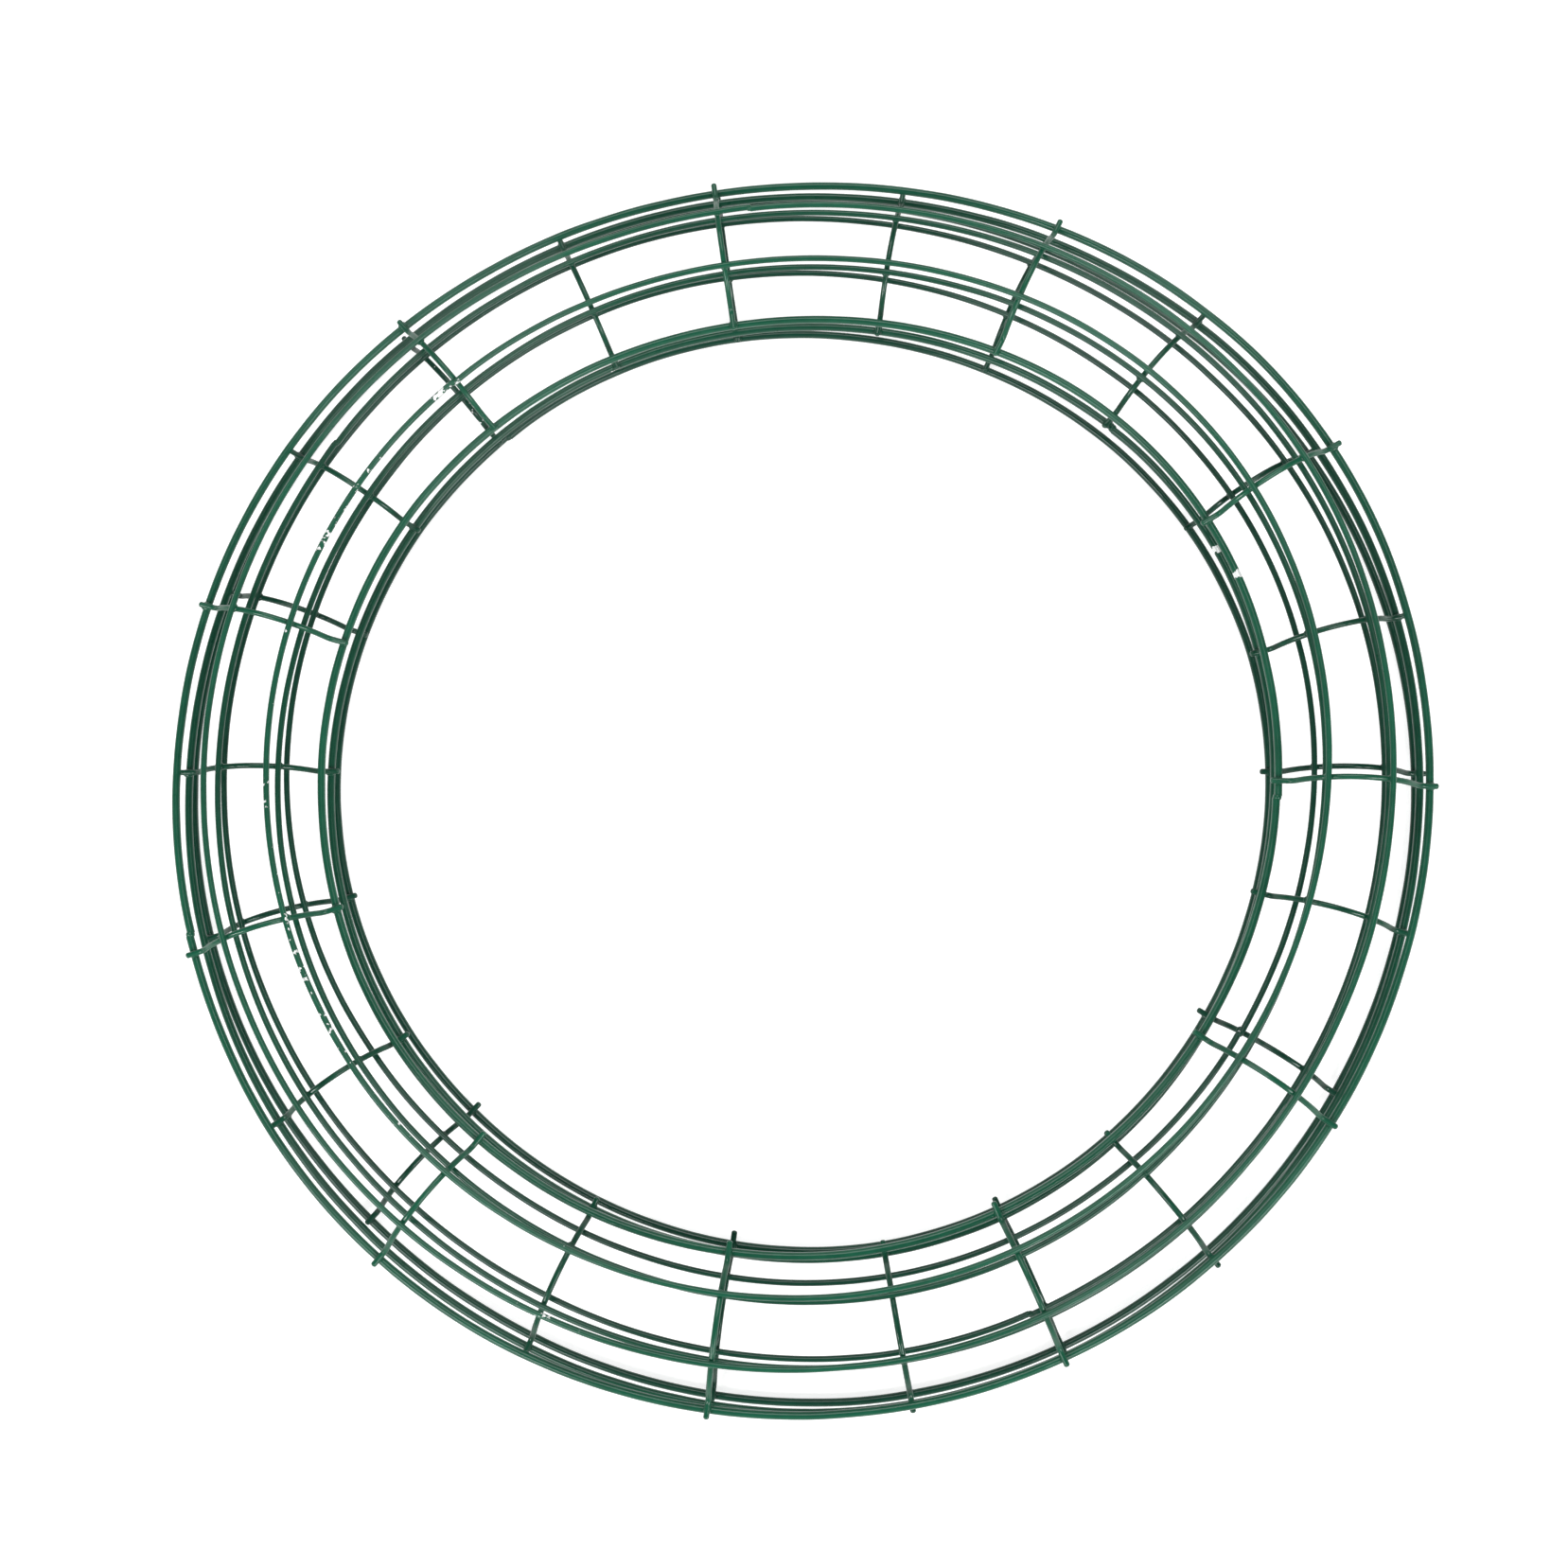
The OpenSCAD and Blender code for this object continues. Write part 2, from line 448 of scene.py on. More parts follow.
def ring_tree():
    """An open hoop of wire that runs from its seam round to its seam, with a bead over the seam."""
    plan, given = geometry_plan("Wreath ring", {
        "Centre": VECTOR, "Ring Radius": FLOAT, "Wire": FLOAT, "Seat Slope": FLOAT, "Off Centre": VECTOR,
        "Growth": FLOAT, "Drop Limit": FLOAT, "Rise Limit": FLOAT,
        "Seam": FLOAT, "Seam Step": FLOAT, "Seam Fade": FLOAT, "Tip": FLOAT, "Waviness": FLOAT,
        "Bars": FLOAT, "First Bar": FLOAT, "Thickness Change": FLOAT, "Seed": FLOAT,
        "Points": WHOLE, "Sides": WHOLE, **FINISH_INPUTS})
    radius, seam = given["Ring Radius"], given["Seam"]
    path, share = straight_path(plan, given["Points"])
    share = share - plan.sin(share * TURN) * (SEAM_CROWDING / TURN)
    angle = seam + share * TURN
    east, north = plan.cos(angle), plan.sin(angle)
    from_start = share * radius * TURN
    from_end = (1.0 - share) * radius * TURN

    # The hoop is still at each weld, and wanders between them.
    held = plan.sin((angle - given["First Bar"]) * given["Bars"] / 2) ** 2
    around = radius / WANDER_LENGTH
    inward, upward, _ = plan.noise(plan.vector(east * around, north * around, given["Seed"]), 1.0)
    wander = held * given["Waviness"] * 2
    fade = given["Seam Fade"]
    step = plan.math("EXPONENT", from_start / fade * -1.0) - plan.math("EXPONENT", from_end / fade * -1.0)
    step = step * given["Seam Step"] / 2

    off_x, off_y, _ = plan.parts(given["Off Centre"])
    out = off_x * east + off_y * north + given["Growth"] + wander * inward + step
    up = out * given["Seat Slope"] + wander * upward * UP_AND_DOWN_SHARE + step * UP_AND_DOWN_SHARE
    up = plan.least(plan.most(up, given["Drop Limit"]), given["Rise Limit"])
    centre_x, centre_y, centre_z = plan.parts(given["Centre"])
    place = plan.vector(centre_x + east * (radius + out), centre_y + north * (radius + out), centre_z + up)
    hoop = plan.node("GeometryNodeSetPosition", {"Geometry": path, "Position": place})

    along = radius / THICKNESS_LENGTH
    thickness_seed = given["Seed"] + THICKNESS_SEED
    thick, _, _ = plan.noise(plan.vector(east * along, north * along, thickness_seed), 1.0)
    thickness = 1.0 + thick * given["Thickness Change"] * 2
    thickness = thickness * plan.rounded_end(from_start, given["Tip"])
    thickness = thickness * plan.rounded_end(from_end, given["Tip"])
    wire = swept_wire(plan, hoop, given["Wire"], given["Sides"], thickness)

    seam_east, seam_north = plan.cos(seam), plan.sin(seam)
    seam_out = radius + off_x * seam_east + off_y * seam_north + given["Growth"]
    seam_up = plan.least((seam_out - radius) * given["Seat Slope"], given["Rise Limit"]) + centre_z
    seam_up = seam_up + given["Wire"] * (SEAM_BEAD_WIDTH - 0.5)
    seam_place = plan.vector(centre_x + seam_east * seam_out, centre_y + seam_north * seam_out, seam_up)
    width = given["Wire"] * SEAM_BEAD_WIDTH
    bead = plan.node("GeometryNodeTransform", {
        "Geometry": unit_bead(plan, SEAM_BEAD_FACES),
        "Translation": seam_place, "Rotation": plan.turned(seam),
        "Scale": plan.vector(width, given["Wire"] * SEAM_BEAD_LENGTH, width)})
    both = plan.node("GeometryNodeJoinGeometry", {"Geometry": wire})
    plan.feed(both.inputs["Geometry"], bead)
    close_with_finish(plan, given, both)
    return plan.tree


def bar_tree():
    """One arched bar, with a flat foot at each end, at each point that it is given."""
    plan, given = geometry_plan("Wreath bars", {
        "Wire": FLOAT, "Foot Height": FLOAT, "Arch Height": FLOAT, "Foot Reach": FLOAT,
        "Bend Radius": FLOAT, "Inner End": FLOAT, "Outer End": FLOAT, "Tip": FLOAT,
        "Length Change": FLOAT, "Waviness": FLOAT,
        "Thickness Change": FLOAT, "Seed": FLOAT, "Points": WHOLE, "Sides": WHOLE, **FINISH_INPUTS})
    reach, arch_height, bend = given["Foot Reach"], given["Arch Height"], given["Bend Radius"]
    inner, outer = given["Inner End"], given["Outer End"]
    path, share = straight_path(plan, given["Points"])
    along = inner + (outer - inner) * (1.0 - plan.cos(share * math.pi)) / 2

    # The arch is one arc, and a bend that is tangent to it brings it down to each flat foot.
    arch = (reach * reach + arch_height * arch_height) / (arch_height * 2) - bend
    arch_end = arch * reach / (arch + bend)
    aside = plan.math("ABSOLUTE", along)
    on_arch = plan.least(aside, arch_end)
    from_foot = plan.most(reach - aside, 0.0)
    arch_z = given["Foot Height"] + arch_height - arch + plan.root(arch * arch - on_arch * on_arch)
    bend_z = given["Foot Height"] + bend - plan.root(plan.most(bend * bend - from_foot * from_foot, 0.0))
    is_arch = plan.math("LESS_THAN", aside, arch_end)
    height = is_arch * arch_z + (1.0 - is_arch) * bend_z
    side_view = plan.vector(along, 0.0, height)
    bar = plan.node("GeometryNodeSetPosition", {"Geometry": path, "Position": side_view})

    # Each bar points away from the hub, and no two are quite as long.
    change = given["Length Change"]
    longer = plan.node("FunctionNodeRandomValue", {
        "Min": 1.0 - change, "Max": 1.0, "Seed": given["Seed"]}, data_type="FLOAT")
    bars = plan.node("GeometryNodeInstanceOnPoints", {
        "Points": given["Geometry"], "Instance": bar,
        "Rotation": plan.turned(plan.angle_from(given["Hub"])),
        "Scale": plan.vector(longer.outputs[1], 1.0, 1.0)})
    bars = plan.node("GeometryNodeRealizeInstances", {"Geometry": bars})

    aside, forward, upward = plan.noise(plan.position(), 1 / WANDER_LENGTH)
    wander = given["Waviness"] * 2
    offset = plan.vector(aside * wander, forward * wander, upward * wander * UP_AND_DOWN_SHARE)
    bars = plan.node("GeometryNodeSetPosition", {"Geometry": bars, "Offset": offset})

    spline = plan.node("GeometryNodeSplineParameter")
    run = Term(plan, spline.outputs["Length"])
    whole = Term(plan, plan.node("GeometryNodeSplineLength").outputs["Length"])
    thick, _, _ = plan.noise(plan.position(), 1 / THICKNESS_LENGTH)
    thickness = 1.0 + thick * given["Thickness Change"] * 2
    thickness = thickness * plan.rounded_end(run, given["Tip"])
    thickness = thickness * plan.rounded_end(whole - run, given["Tip"])
    wires = swept_wire(plan, bars, given["Wire"], given["Sides"], thickness)
    close_with_finish(plan, given, wires)
    return plan.tree


# A bead is this much bigger or smaller than its neighbours, and this far out of its round.
BEAD_SIZE_CHANGE = 0.16
BEAD_LUMPS = 0.12 * MM


def bead_tree():
    """A flattened bead of metal and enamel at each point, where a ring is welded to a bar."""
    plan, given = geometry_plan("Weld beads", {
        "Along Bar": FLOAT, "Along Ring": FLOAT, "Height": FLOAT, "Seed": WHOLE, **FINISH_INPUTS})
    sizes = {"Min": 1.0 - BEAD_SIZE_CHANGE, "Max": 1.0 + BEAD_SIZE_CHANGE, "Seed": given["Seed"]}
    bigger = plan.node("FunctionNodeRandomValue", sizes, data_type="FLOAT")
    bigger = Term(plan, bigger.outputs[1])
    beads = plan.node("GeometryNodeInstanceOnPoints", {
        "Points": given["Geometry"], "Instance": unit_bead(plan, WELD_BEAD_FACES),
        "Rotation": plan.turned(plan.angle_from(given["Hub"])),
        "Scale": plan.vector(given["Along Bar"] * bigger, given["Along Ring"] * bigger, given["Height"])})
    beads = plan.node("GeometryNodeRealizeInstances", {"Geometry": beads})
    lumps = [part * (BEAD_LUMPS * 2) for part in plan.noise(plan.position(), 1 / MM)]
    beads = plan.node("GeometryNodeSetPosition", {"Geometry": beads, "Offset": plan.vector(*lumps)})
    close_with_finish(plan, given, beads)
    return plan.tree


def outward(angle):
    """The level direction at an angle about the Z axis."""
    return Vector((math.cos(angle), math.sin(angle), 0))


class Ring:
    """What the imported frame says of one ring."""

    def __init__(self, level, kind):
        self.node = f"{level}_{kind}"
        low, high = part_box(self.node)
        self.centre = (low + high) / 2
        self.wire = high.z - low.z
        self.radius = (high.x - low.x - self.wire) / 2
        seam, off, towards, growth = RING_HABITS[self.node]
        self.growth = growth * MM
        self.seam = math.radians(seam)
        self.off = outward(math.radians(towards)) * off * MM
        self.raised = kind.startswith("raised")


class Bar:
    """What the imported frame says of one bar, seen from its frame's hub."""

    def __init__(self, level, number, hub):
        self.node = f"{level}_bar_{number:02d}"
        low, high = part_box(self.node)
        middle = (low + high) / 2 - hub
        self.angle = math.atan2(middle.y, middle.x)
        away = outward(self.angle)
        aside = Vector((-away.y, away.x, 0))
        points = [v.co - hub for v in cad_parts[self.node].data.vertices]
        along = [p.dot(away) for p in points]
        across = [p.dot(aside) for p in points]
        self.inner_end, self.outer_end = min(along), max(along)
        self.wire = max(across) - min(across) - 2 * TOOL_MARK
        self.low, self.high = low.z, high.z


# How far a ring may rise, on the top frame and elsewhere, and drop where it doesn't lie flat.
TOP_RISE, FREE_RISE, FREE_DROP = 0.1 * MM, 2 * MM, -2 * MM
# A bar's crown lies this much below the design's, so that a thick place in its enamel stays in height.
CROWN_DROP = 0.07 * MM


class WireFrame:
    """One frame of the nest: its rings, its bars and the shape that its bars share."""

    def __init__(self, level, wires):
        self.level = level
        self.body = f"{level}_frame"
        self.rings = [Ring(level, kind) for kind in RING_KINDS]
        self.outer, self.inner = self.rings[0], self.rings[-1]
        self.hub = self.outer.centre - Vector((0, 0, self.outer.wire / 2))
        self.bars = [Bar(level, number, self.hub) for number in BARS]
        self.crown = (self.outer.radius + self.inner.radius) / 2
        bar = self.bars[0]
        self.bar_wire = bar.wire
        self.foot_z = bar.low + bar.wire / 2
        self.arch_height = bar.high - bar.low - bar.wire
        self.foot_reach = (self.outer.radius - self.inner.radius) / 2 - wires.foot_inset
        square = self.foot_reach ** 2 + self.arch_height ** 2
        self.arch = square / (2 * self.arch_height) - wires.foot_bend_radius

    def seat_slope(self, ring):
        """How much higher a raised ring's seat on the arch is, for each step outward."""
        if not ring.raised:
            return 0.0
        aside = ring.radius - self.crown
        seat = self.arch + (self.bar_wire + ring.wire) / 2
        return -aside / math.sqrt(seat ** 2 - aside ** 2)

    def rise_limit(self, ring):
        """How far above its place in the design a ring may rise. The top frame's stay in its height."""
        return TOP_RISE if self.level == LEVELS[-1] or not ring.raised else FREE_RISE

    def weld_place(self, ring, bar):
        """Where a ring and a bar are welded, between the two wires."""
        away = outward(bar.angle)
        out = ring.off.dot(away) + ring.growth
        height = ring.centre.z + min(out * self.seat_slope(ring), self.rise_limit(ring))
        height += ring.wire / 2 if not ring.raised else -ring.wire / 2
        return Vector((self.hub.x, self.hub.y, height)) + away * (ring.radius + out)

    def crown_place(self, bar):
        """The point on the floor of the design under the middle of a bar's arch."""
        return Vector((self.hub.x, self.hub.y, 0)) + outward(bar.angle) * self.crown

    def finish_values(self, node, hub):
        """The values of the finish tree's inputs for one piece of this frame."""
        # Each frame's enamel carries painted shade, darker for the lower frames.
        values = {"Hub": hub, "Material": enamel_and_shade(self.level)}
        for label, (distance, towards) in zip(BEND_INPUTS, HAND_BEND[self.level]):
            values[label] = (distance * MM, math.radians(towards), 0)
        for place, (direction, spread, amount) in enumerate(WORN.get(node, ())):
            values[f"Worn {place + 1}"] = (math.radians(direction), math.radians(spread), amount)
        return values


def points_mesh(name, points):
    """A mesh of loose points, which a tree draws one shape at each of."""
    mesh = bpy.data.meshes.new(name)
    mesh.from_pydata([tuple(p) for p in points], [], [])
    return mesh


def grow(name, tree, body, values, points=()):
    """Runs a tree once and keeps what it makes as a plain mesh that rides on a body."""
    piece = bpy.data.objects.new(name, points_mesh(name, points))
    bpy.context.scene.collection.objects.link(piece)
    modifier = piece.modifiers.new("Draw", "NODES")
    modifier.node_group = tree
    for item in tree.interface.items_tree:
        if item.in_out == "INPUT" and item.name in values:
            modifier[item.identifier] = values[item.name]
    now = bpy.context.evaluated_depsgraph_get()
    drawn = bpy.data.meshes.new_from_object(
        piece.evaluated_get(now), preserve_all_data_layers=True, depsgraph=now)
    piece.modifiers.remove(modifier)
    piece.data = drawn
    drawn.name = name
    if not drawn.polygons:
        raise RuntimeError(f"the tree {tree.name} drew nothing for {name}")
    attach(piece, body)
    return piece


def tree_named(name, make):
    """The tree of that name, made the first time that it is asked for."""
    return bpy.data.node_groups.get(name) or make()


# Lengths over which the enamel changes: its patches, its mottling, its orange peel, its grain and the
# ragged edges of its chips.
PATCH, MOTTLE, PEEL, GRAIN, FLAKE = 30 * MM, 3 * MM, 1.2 * MM, 0.2 * MM, 2 * MM
# Layers of ever finer noise in the patches, the mottling and the chips, and how strong the chips' are.
FINE_LAYERS, FLAKE_FINENESS = 3.0, 0.6
# How much the mottling counts beside the patches.
MOTTLE_SHARE = 0.6
# Enamel is gone where the wear and its noise, times the first number, pass from the second to the
# third. Wear below the last number does nothing.
RAGGEDNESS, CHIP_EDGE, CHIP_INSIDE, LEAST_WEAR = 4, 1.0, 1.15, 0.05
# Roughness of the enamel under its gloss, how much that changes, and how much rougher the zinc is.
UNDER_ROUGHNESS, ROUGHNESS_CHANGE, ZINC_ROUGHNESS = 0.34, 0.3, 0.1
# How metallic the dull zinc is.
ZINC_METALLIC = 0.45
# Shares of the peel, the grain and the depth of a chip in the relief, and the relief's own height.
PEEL_SHARE, GRAIN_SHARE, CHIP_SHARE = 0.7, 0.12, 0.8
RELIEF_STRENGTH, RELIEF_HEIGHT = 0.55, 0.15 * MM
# Reflection of the enamel itself, and the weight of the glossy layer on it.
UNDER_SPECULAR, GLOSS_WEIGHT = 0.15, 0.42


def enamel_and_shade(level):
    """Glossy green enamel over zinc, which shows where the attribute called worn is high. Each frame has
    its own copy, whose colour carries painted shade.
    """
    name = f"{level}_enamel"
    material = bpy.data.materials.get(name)
    if material:
        return material
    finish = bpy.context.scene.wreath_enamel
    # The frame's colour holds painted shade: the lower frames get a darker copy of the same green.
    colour_and_shade = getattr(finish, f"{level}_colour")
    material = bpy.data.materials.new(name)
    material.use_nodes = True
    plan = Plan(material.node_tree)
    shader = material.node_tree.nodes["Principled BSDF"]
    place = plan.node("ShaderNodeTexCoord").outputs["Object"]

    patch, _, _ = plan.noise(place, 1 / PATCH, detail=FINE_LAYERS)
    mottle, gloss, _ = plan.noise(place, 1 / MOTTLE, detail=FINE_LAYERS)
    # The mottling is the enamel's own random tone. The colour it varies carries the frame's painted shade.
    green = plan.lit(colour_and_shade, 1.0 + (patch + mottle * MOTTLE_SHARE) * (finish.mottling * 2))

    flake, _, _ = plan.noise(place, 1 / FLAKE, detail=FINE_LAYERS, roughness=FLAKE_FINENESS)
    worn = Term(plan, plan.node("ShaderNodeAttribute", attribute_name="worn").outputs["Fac"])
    bare = plan.between(flake * RAGGEDNESS + worn, CHIP_EDGE, CHIP_INSIDE)
    bare = bare * plan.math("GREATER_THAN", worn, LEAST_WEAR)
    plan.feed(shader.inputs["Base Color"], plan.mixed(bare, green, (*finish.metal_colour, 1.0)))
    plan.feed(shader.inputs["Metallic"], bare * ZINC_METALLIC)
    roughness = UNDER_ROUGHNESS + gloss * ROUGHNESS_CHANGE + bare * ZINC_ROUGHNESS
    plan.feed(shader.inputs["Roughness"], roughness)

    peel, _, _ = plan.noise(place, 1 / PEEL)
    grain, _, _ = plan.noise(place, 1 / GRAIN)
    height = peel * PEEL_SHARE + grain * GRAIN_SHARE - bare * CHIP_SHARE
    relief = {"Strength": RELIEF_STRENGTH, "Distance": RELIEF_HEIGHT, "Height": height}
    plan.feed(shader.inputs["Normal"], plan.node("ShaderNodeBump", relief))
    shader.inputs["Specular IOR Level"].default_value = UNDER_SPECULAR
    shader.inputs["Coat Weight"].default_value = GLOSS_WEIGHT
    shader.inputs["Coat Roughness"].default_value = finish.gloss_roughness
    return material


# The floor glows evenly out to the first radius, and less, by the share, from the second one on.
GLOW_RADIUS, GLOW_END, FAR_GLOW = 0.25, 0.9, 0.55
# The paper's soft clouds: how many there are to a metre, and how much they change its colour.
CLOUDS, CLOUD_CHANGE = 1.5, 0.01
PAPER_ROUGHNESS, PAPER_SPECULAR = 0.9, 0.1


def floor_material(colour_and_shade, glow):
    """Matt paper of the floor, a little uneven, with light coming up through it."""
    material = bpy.data.materials.new("pale_paper")
    material.use_nodes = True
    plan = Plan(material.node_tree)
    shader = material.node_tree.nodes["Principled BSDF"]
    place = plan.node("ShaderNodeTexCoord").outputs["Object"]
    cloud, _, _ = plan.noise(place, CLOUDS)
    plan.feed(shader.inputs["Base Color"], plan.lit(colour_and_shade, 1.0 + cloud * CLOUD_CHANGE))
    shader.inputs["Roughness"].default_value = PAPER_ROUGHNESS
    shader.inputs["Emission Color"].default_value = WHITE
    away = plan.node("ShaderNodeVectorMath", {0: place}, operation="LENGTH").outputs["Value"]
    strength = plan.between(away, GLOW_RADIUS, GLOW_END, glow, glow * FAR_GLOW)
    plan.feed(shader.inputs["Emission Strength"], strength)
    shader.inputs["Specular IOR Level"].default_value = PAPER_SPECULAR
    return material


# The sweep: a flat floor, a bend up and a wall, turned about the object.
FLOOR_RADIUS, SWEEP_BEND, WALL_HEIGHT = 2.2, 0.9, 0.6
SWEEP_STEPS, SWEEP_SIDES = 16, 96


def sweep_mesh(floor_z):
    """A round floor whose edge bends up into a low wall."""
    profile = [(FLOOR_RADIUS, floor_z)]
    for step in range(1, SWEEP_STEPS + 1):
        angle = math.pi / 2 * step / SWEEP_STEPS
        out, up = SWEEP_BEND * math.sin(angle), SWEEP_BEND * (1 - math.cos(angle))
        profile.append((FLOOR_RADIUS + out, floor_z + up))
    profile.append((FLOOR_RADIUS + SWEEP_BEND, floor_z + SWEEP_BEND + WALL_HEIGHT))
    points, faces = [(0, 0, floor_z)], []
    for side in range(SWEEP_SIDES):
        angle = TURN * side / SWEEP_SIDES
        points += [(r * math.cos(angle), r * math.sin(angle), z) for r, z in profile]
    rows = len(profile)
    for side in range(SWEEP_SIDES):
        here, there = 1 + side * rows, 1 + (side + 1) % SWEEP_SIDES * rows
        faces.append((0, here, there))
        faces += [(here + row, here + row + 1, there + row + 1, there + row) for row in range(rows - 1)]
    mesh = bpy.data.meshes.new("floor")
    mesh.from_pydata(points, [], faces)
    mesh.shade_smooth()
    return mesh


# The lights stand this far from the object. Directions are in degrees, and sizes in metres.
LIGHT_DISTANCE = 1.4
FRONT_ASIDE, FRONT_ELEVATION, FRONT_SIZE = 45, 40, (0.75, 0.28)
BACK_AZIMUTH, BACK_ELEVATION, BACK_SIZE = 180, 62, (1.0, 0.7)
# Width of the camera's sensor in millimetres, and the nearest and farthest that it sees.
SENSOR_WIDTH, NEAREST, FARTHEST = 36, 0.01, 20


def area_light(name, azimuth, elevation, size, power):
    """A soft light on a sphere about the object, turned to face it. Azimuth 0 is in front."""
    light = bpy.data.lights.new(name, "AREA")
    light.shape = "RECTANGLE"
    light.size, light.size_y = size
    light.energy = power
    lamp = bpy.data.objects.new(name, light)
    around, up = math.radians(azimuth), math.radians(elevation)
    back = Vector((math.sin(around) * math.cos(up), -math.cos(around) * math.cos(up), math.sin(up)))
    lamp.location = back * LIGHT_DISTANCE
    lamp.rotation_mode = "QUATERNION"
    lamp.rotation_quaternion = back.to_track_quat("Z", "Y")
    bpy.context.scene.collection.objects.link(lamp)


class WREATH_OT_stage(bpy.types.Operator):
    """Set up the floor, the lights and the camera"""

    bl_idname = "wreath.stage"
    bl_label = "Stage"

    def execute(self, context):
        stage = context.scene.wreath_stage
        floor = bpy.data.objects.new("floor", sweep_mesh(CAD_BOX[0].z - stage.floor_gap))
        floor.data.materials.append(floor_material(stage.floor_colour, stage.floor_glow))
        context.scene.collection.objects.link(floor)

        area_light("front_left_light", -FRONT_ASIDE, FRONT_ELEVATION, FRONT_SIZE, stage.front_power)
        area_light("front_right_light", FRONT_ASIDE, FRONT_ELEVATION, FRONT_SIZE, stage.front_power)
        area_light("back_light", BACK_AZIMUTH, BACK_ELEVATION, BACK_SIZE, stage.back_power)

        sky = bpy.data.worlds.new("studio")
        sky.use_nodes = True
        background = sky.node_tree.nodes["Background"]
        background.inputs["Color"].default_value = WHITE
        background.inputs["Strength"].default_value = stage.sky_strength
        context.scene.world = sky
        context.scene.view_settings.view_transform = "Standard"

        lens = bpy.data.cameras.new("camera")
        lens.lens = stage.camera_lens
        lens.sensor_width = SENSOR_WIDTH
        lens.clip_start, lens.clip_end = NEAREST, FARTHEST
        camera = bpy.data.objects.new("camera", lens)
        camera.location = stage.camera_place
        camera.rotation_mode = "YXZ"
        camera.rotation_euler = (stage.camera_lean[0], stage.camera_lean[1], 0)
        context.scene.collection.objects.link(camera)
        context.scene.camera = camera
        return {"FINISHED"}


# Each ring's seed is its number in its frame, and a frame's seeds stand this far from the next one's.
# The bars' and the beads' seeds begin at these numbers.
FRAME_SEEDS, BAR_SEED, BEAD_SEED = 10.0, 40.0, 60


class WREATH_OT_rings(bpy.types.Operator):
    """Draw the rings of each frame, each with its seam"""

    bl_idname = "wreath.rings"
    bl_label = "Rings"

    def execute(self, context):
        wires = context.scene.wreath_wires
        tree_named("Wire finish", finish_tree)
        tree = tree_named("Wreath ring", ring_tree)
        for level in LEVELS:
            made = WireFrame(level, wires)
            for number, ring in enumerate(made.rings):
                values = {
                    "Centre": ring.centre, "Ring Radius": ring.radius, "Wire": ring.wire,
                    "Seat Slope": made.seat_slope(ring), "Off Centre": ring.off, "Seam": ring.seam,
                    "Growth": ring.growth, "Rise Limit": made.rise_limit(ring),
                    "Drop Limit": FREE_DROP if ring.raised else wires.thickness_change * ring.wire / 2,
                    "Seam Step": wires.seam_step, "Seam Fade": wires.seam_fade, "Tip": wires.tip_length,
                    "Waviness": wires.waviness, "Bars": float(len(made.bars)),
                    "First Bar": made.bars[0].angle, "Thickness Change": wires.thickness_change,
                    "Seed": FRAME_SEEDS * LEVELS.index(level) + number,
                    "Points": wires.ring_points, "Sides": wires.sides,
                    **made.finish_values(ring.node, ring.centre)}
                piece = grow(f"{ring.node}_wire", tree, made.body, values)
                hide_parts(ring.node)
        return {"FINISHED"}


class WREATH_OT_bars(bpy.types.Operator):
    """Draw the arched cross bars of each frame"""

    bl_idname = "wreath.bars"
    bl_label = "Cross bars"

    def execute(self, context):
        wires = context.scene.wreath_wires
        tree_named("Wire finish", finish_tree)
        tree = tree_named("Wreath bars", bar_tree)
        for level in LEVELS:
            made = WireFrame(level, wires)
            crowns = [made.crown_place(bar) for bar in made.bars]
            values = {
                "Wire": made.bar_wire, "Foot Height": made.foot_z,
                "Arch Height": made.arch_height - CROWN_DROP,
                "Foot Reach": made.foot_reach, "Bend Radius": wires.foot_bend_radius,
                "Inner End": made.bars[0].inner_end - made.crown,
                "Outer End": made.bars[0].outer_end - made.crown,
                "Tip": wires.tip_length, "Length Change": wires.bar_length_change,
                "Waviness": wires.bar_waviness, "Thickness Change": wires.thickness_change,
                "Seed": LEVELS.index(level) + BAR_SEED, "Points": wires.bar_points, "Sides": wires.sides,
                **made.finish_values(f"{level}_bars", made.hub)}
            piece = grow(f"{level}_bar_wires", tree, made.body, values, crowns)
            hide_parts(*[bar.node for bar in made.bars])
        return {"FINISHED"}


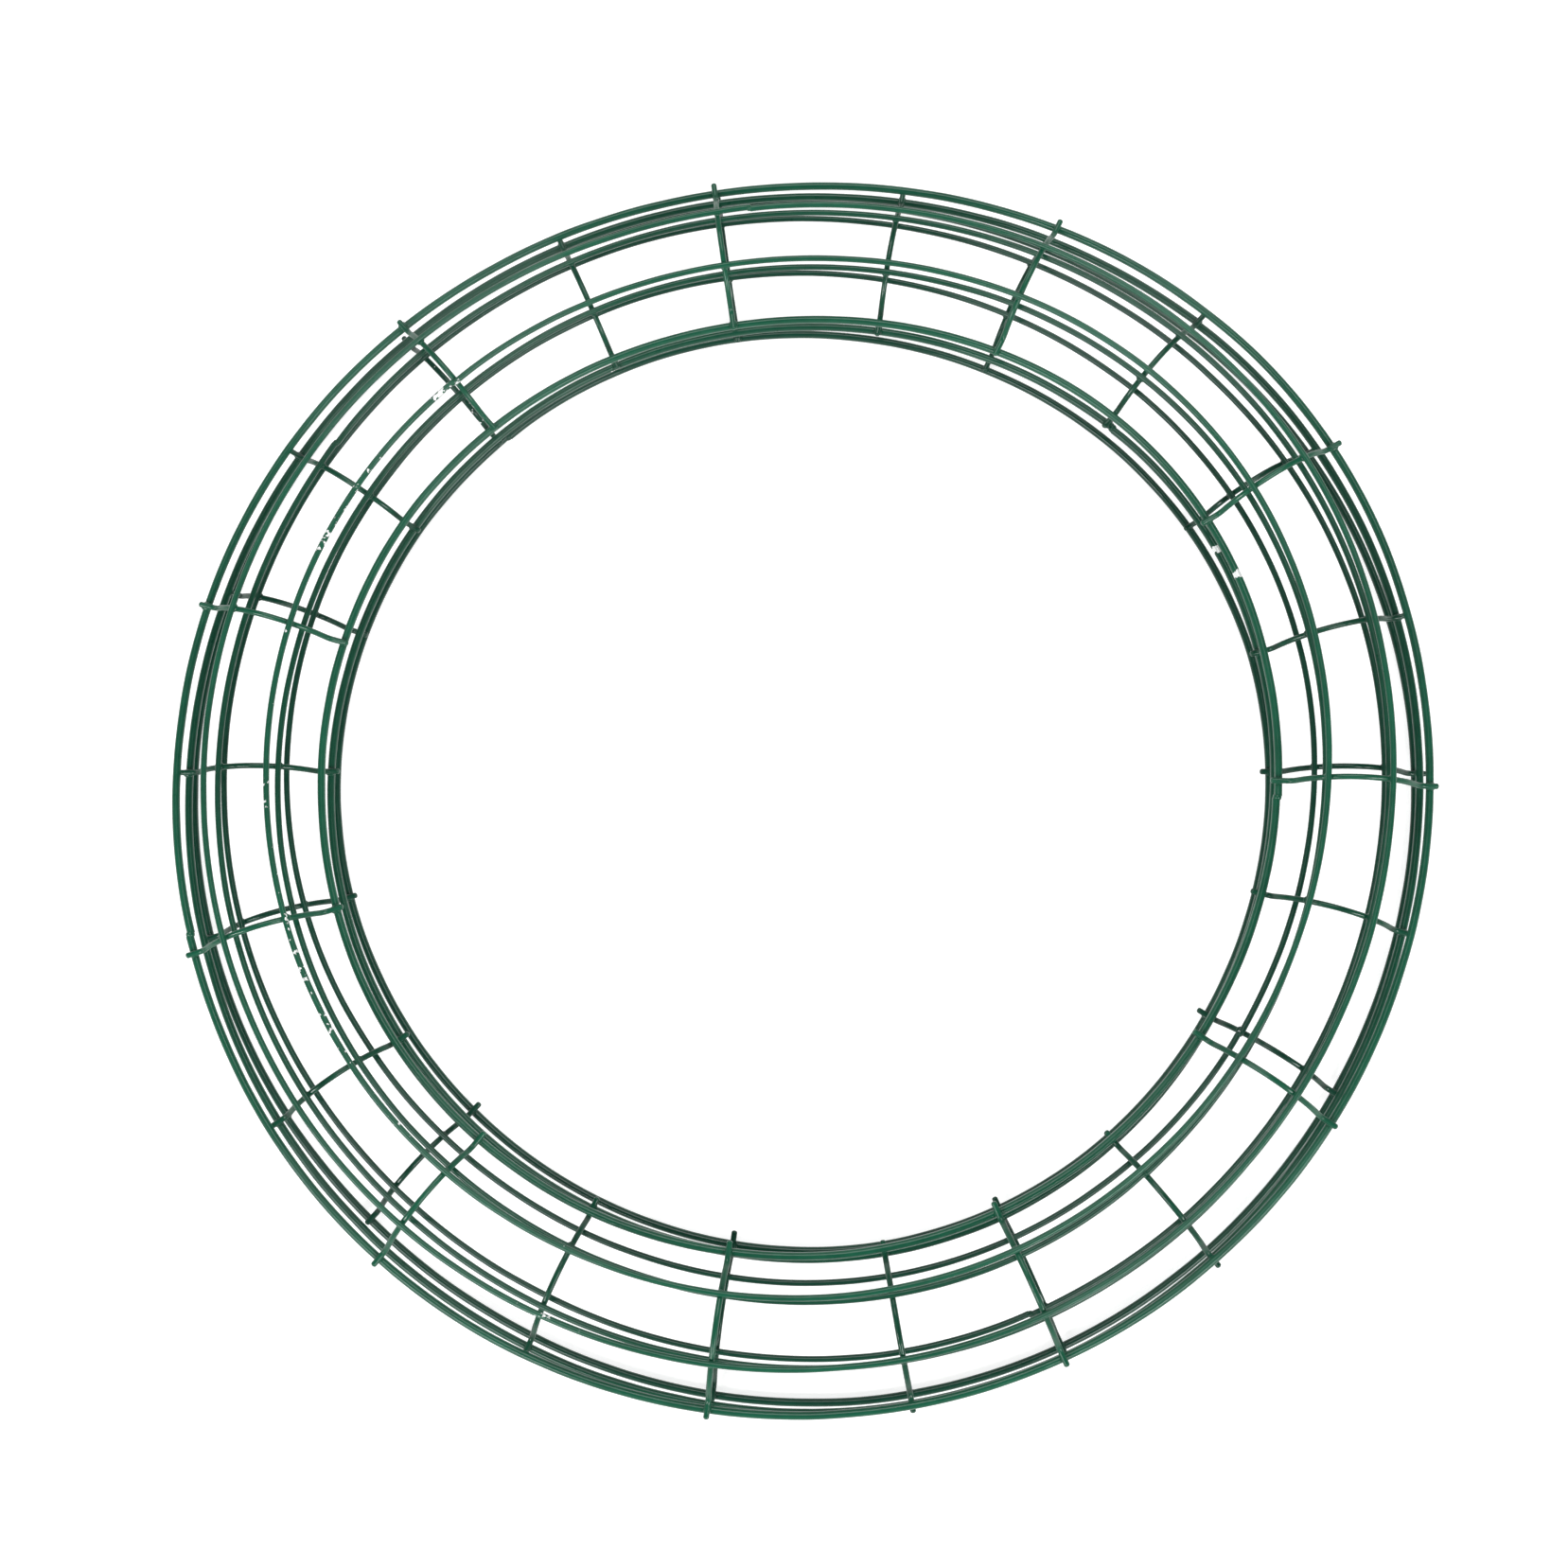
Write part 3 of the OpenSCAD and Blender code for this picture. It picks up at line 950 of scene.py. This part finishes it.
class WREATH_OT_beads(bpy.types.Operator):
    """Draw the weld beads where the rings cross the bars"""

    bl_idname = "wreath.beads"
    bl_label = "Weld beads"

    def execute(self, context):
        wires = context.scene.wreath_wires
        tree_named("Wire finish", finish_tree)
        tree = tree_named("Weld beads", bead_tree)
        for level in LEVELS:
            made = WireFrame(level, wires)
            for rings, kind in ((made.rings[1:3], "raised"), ((made.outer, made.inner), "base")):
                values = {
                    "Along Bar": rings[0].wire / 2 + wires.bead_spread,
                    "Along Ring": made.bar_wire / 2 + wires.bead_spread,
                    "Height": made.bar_wire / 2, "Seed": BEAD_SEED + LEVELS.index(level),
                    **made.finish_values(f"{level}_beads", made.hub)}
                places = [made.weld_place(ring, bar) for ring in rings for bar in made.bars]
                grow(f"{level}_{kind}_weld_beads", tree, made.body, values, places)
        return {"FINISHED"}


# A box of the panel for each group of settings, with the steps that use them.
PANEL_ROWS = (
    ("wreath_stage", ("wreath.stage",)),
    ("wreath_wires", ("wreath.rings", "wreath.bars", "wreath.beads")),
    ("wreath_enamel", ()),
)


class WREATH_PT_panel(bpy.types.Panel):
    """Lists the steps that draw the wreath frames, and their settings"""

    bl_idname = "WREATH_PT_panel"
    bl_label = "Wreath Frames"
    bl_space_type = "VIEW_3D"
    bl_region_type = "UI"
    bl_category = "Wreath"

    def draw(self, context):
        for settings, step_names in PANEL_ROWS:
            box = self.layout.box()
            group = getattr(context.scene, settings)
            for name in group.bl_rna.properties.keys():
                if name not in ("rna_type", "name"):
                    box.prop(group, name)
            for step in step_names:
                box.operator(step)


CLASSES = (
    WreathWires, WreathEnamel, WreathStage,
    WREATH_OT_stage, WREATH_OT_rings, WREATH_OT_bars, WREATH_OT_beads, WREATH_PT_panel,
)


def register():
    for kind in CLASSES:
        bpy.utils.register_class(kind)
    bpy.types.Scene.wreath_wires = PointerProperty(type=WreathWires)
    bpy.types.Scene.wreath_enamel = PointerProperty(type=WreathEnamel)
    bpy.types.Scene.wreath_stage = PointerProperty(type=WreathStage)


def unregister():
    del bpy.types.Scene.wreath_stage
    del bpy.types.Scene.wreath_enamel
    del bpy.types.Scene.wreath_wires
    for kind in reversed(CLASSES):
        bpy.utils.unregister_class(kind)


def main():
    register()
    bpy.ops.wreath.stage()
    bpy.ops.wreath.rings()
    bpy.ops.wreath.bars()
    bpy.ops.wreath.beads()


if __name__ == "__main__":
    main()
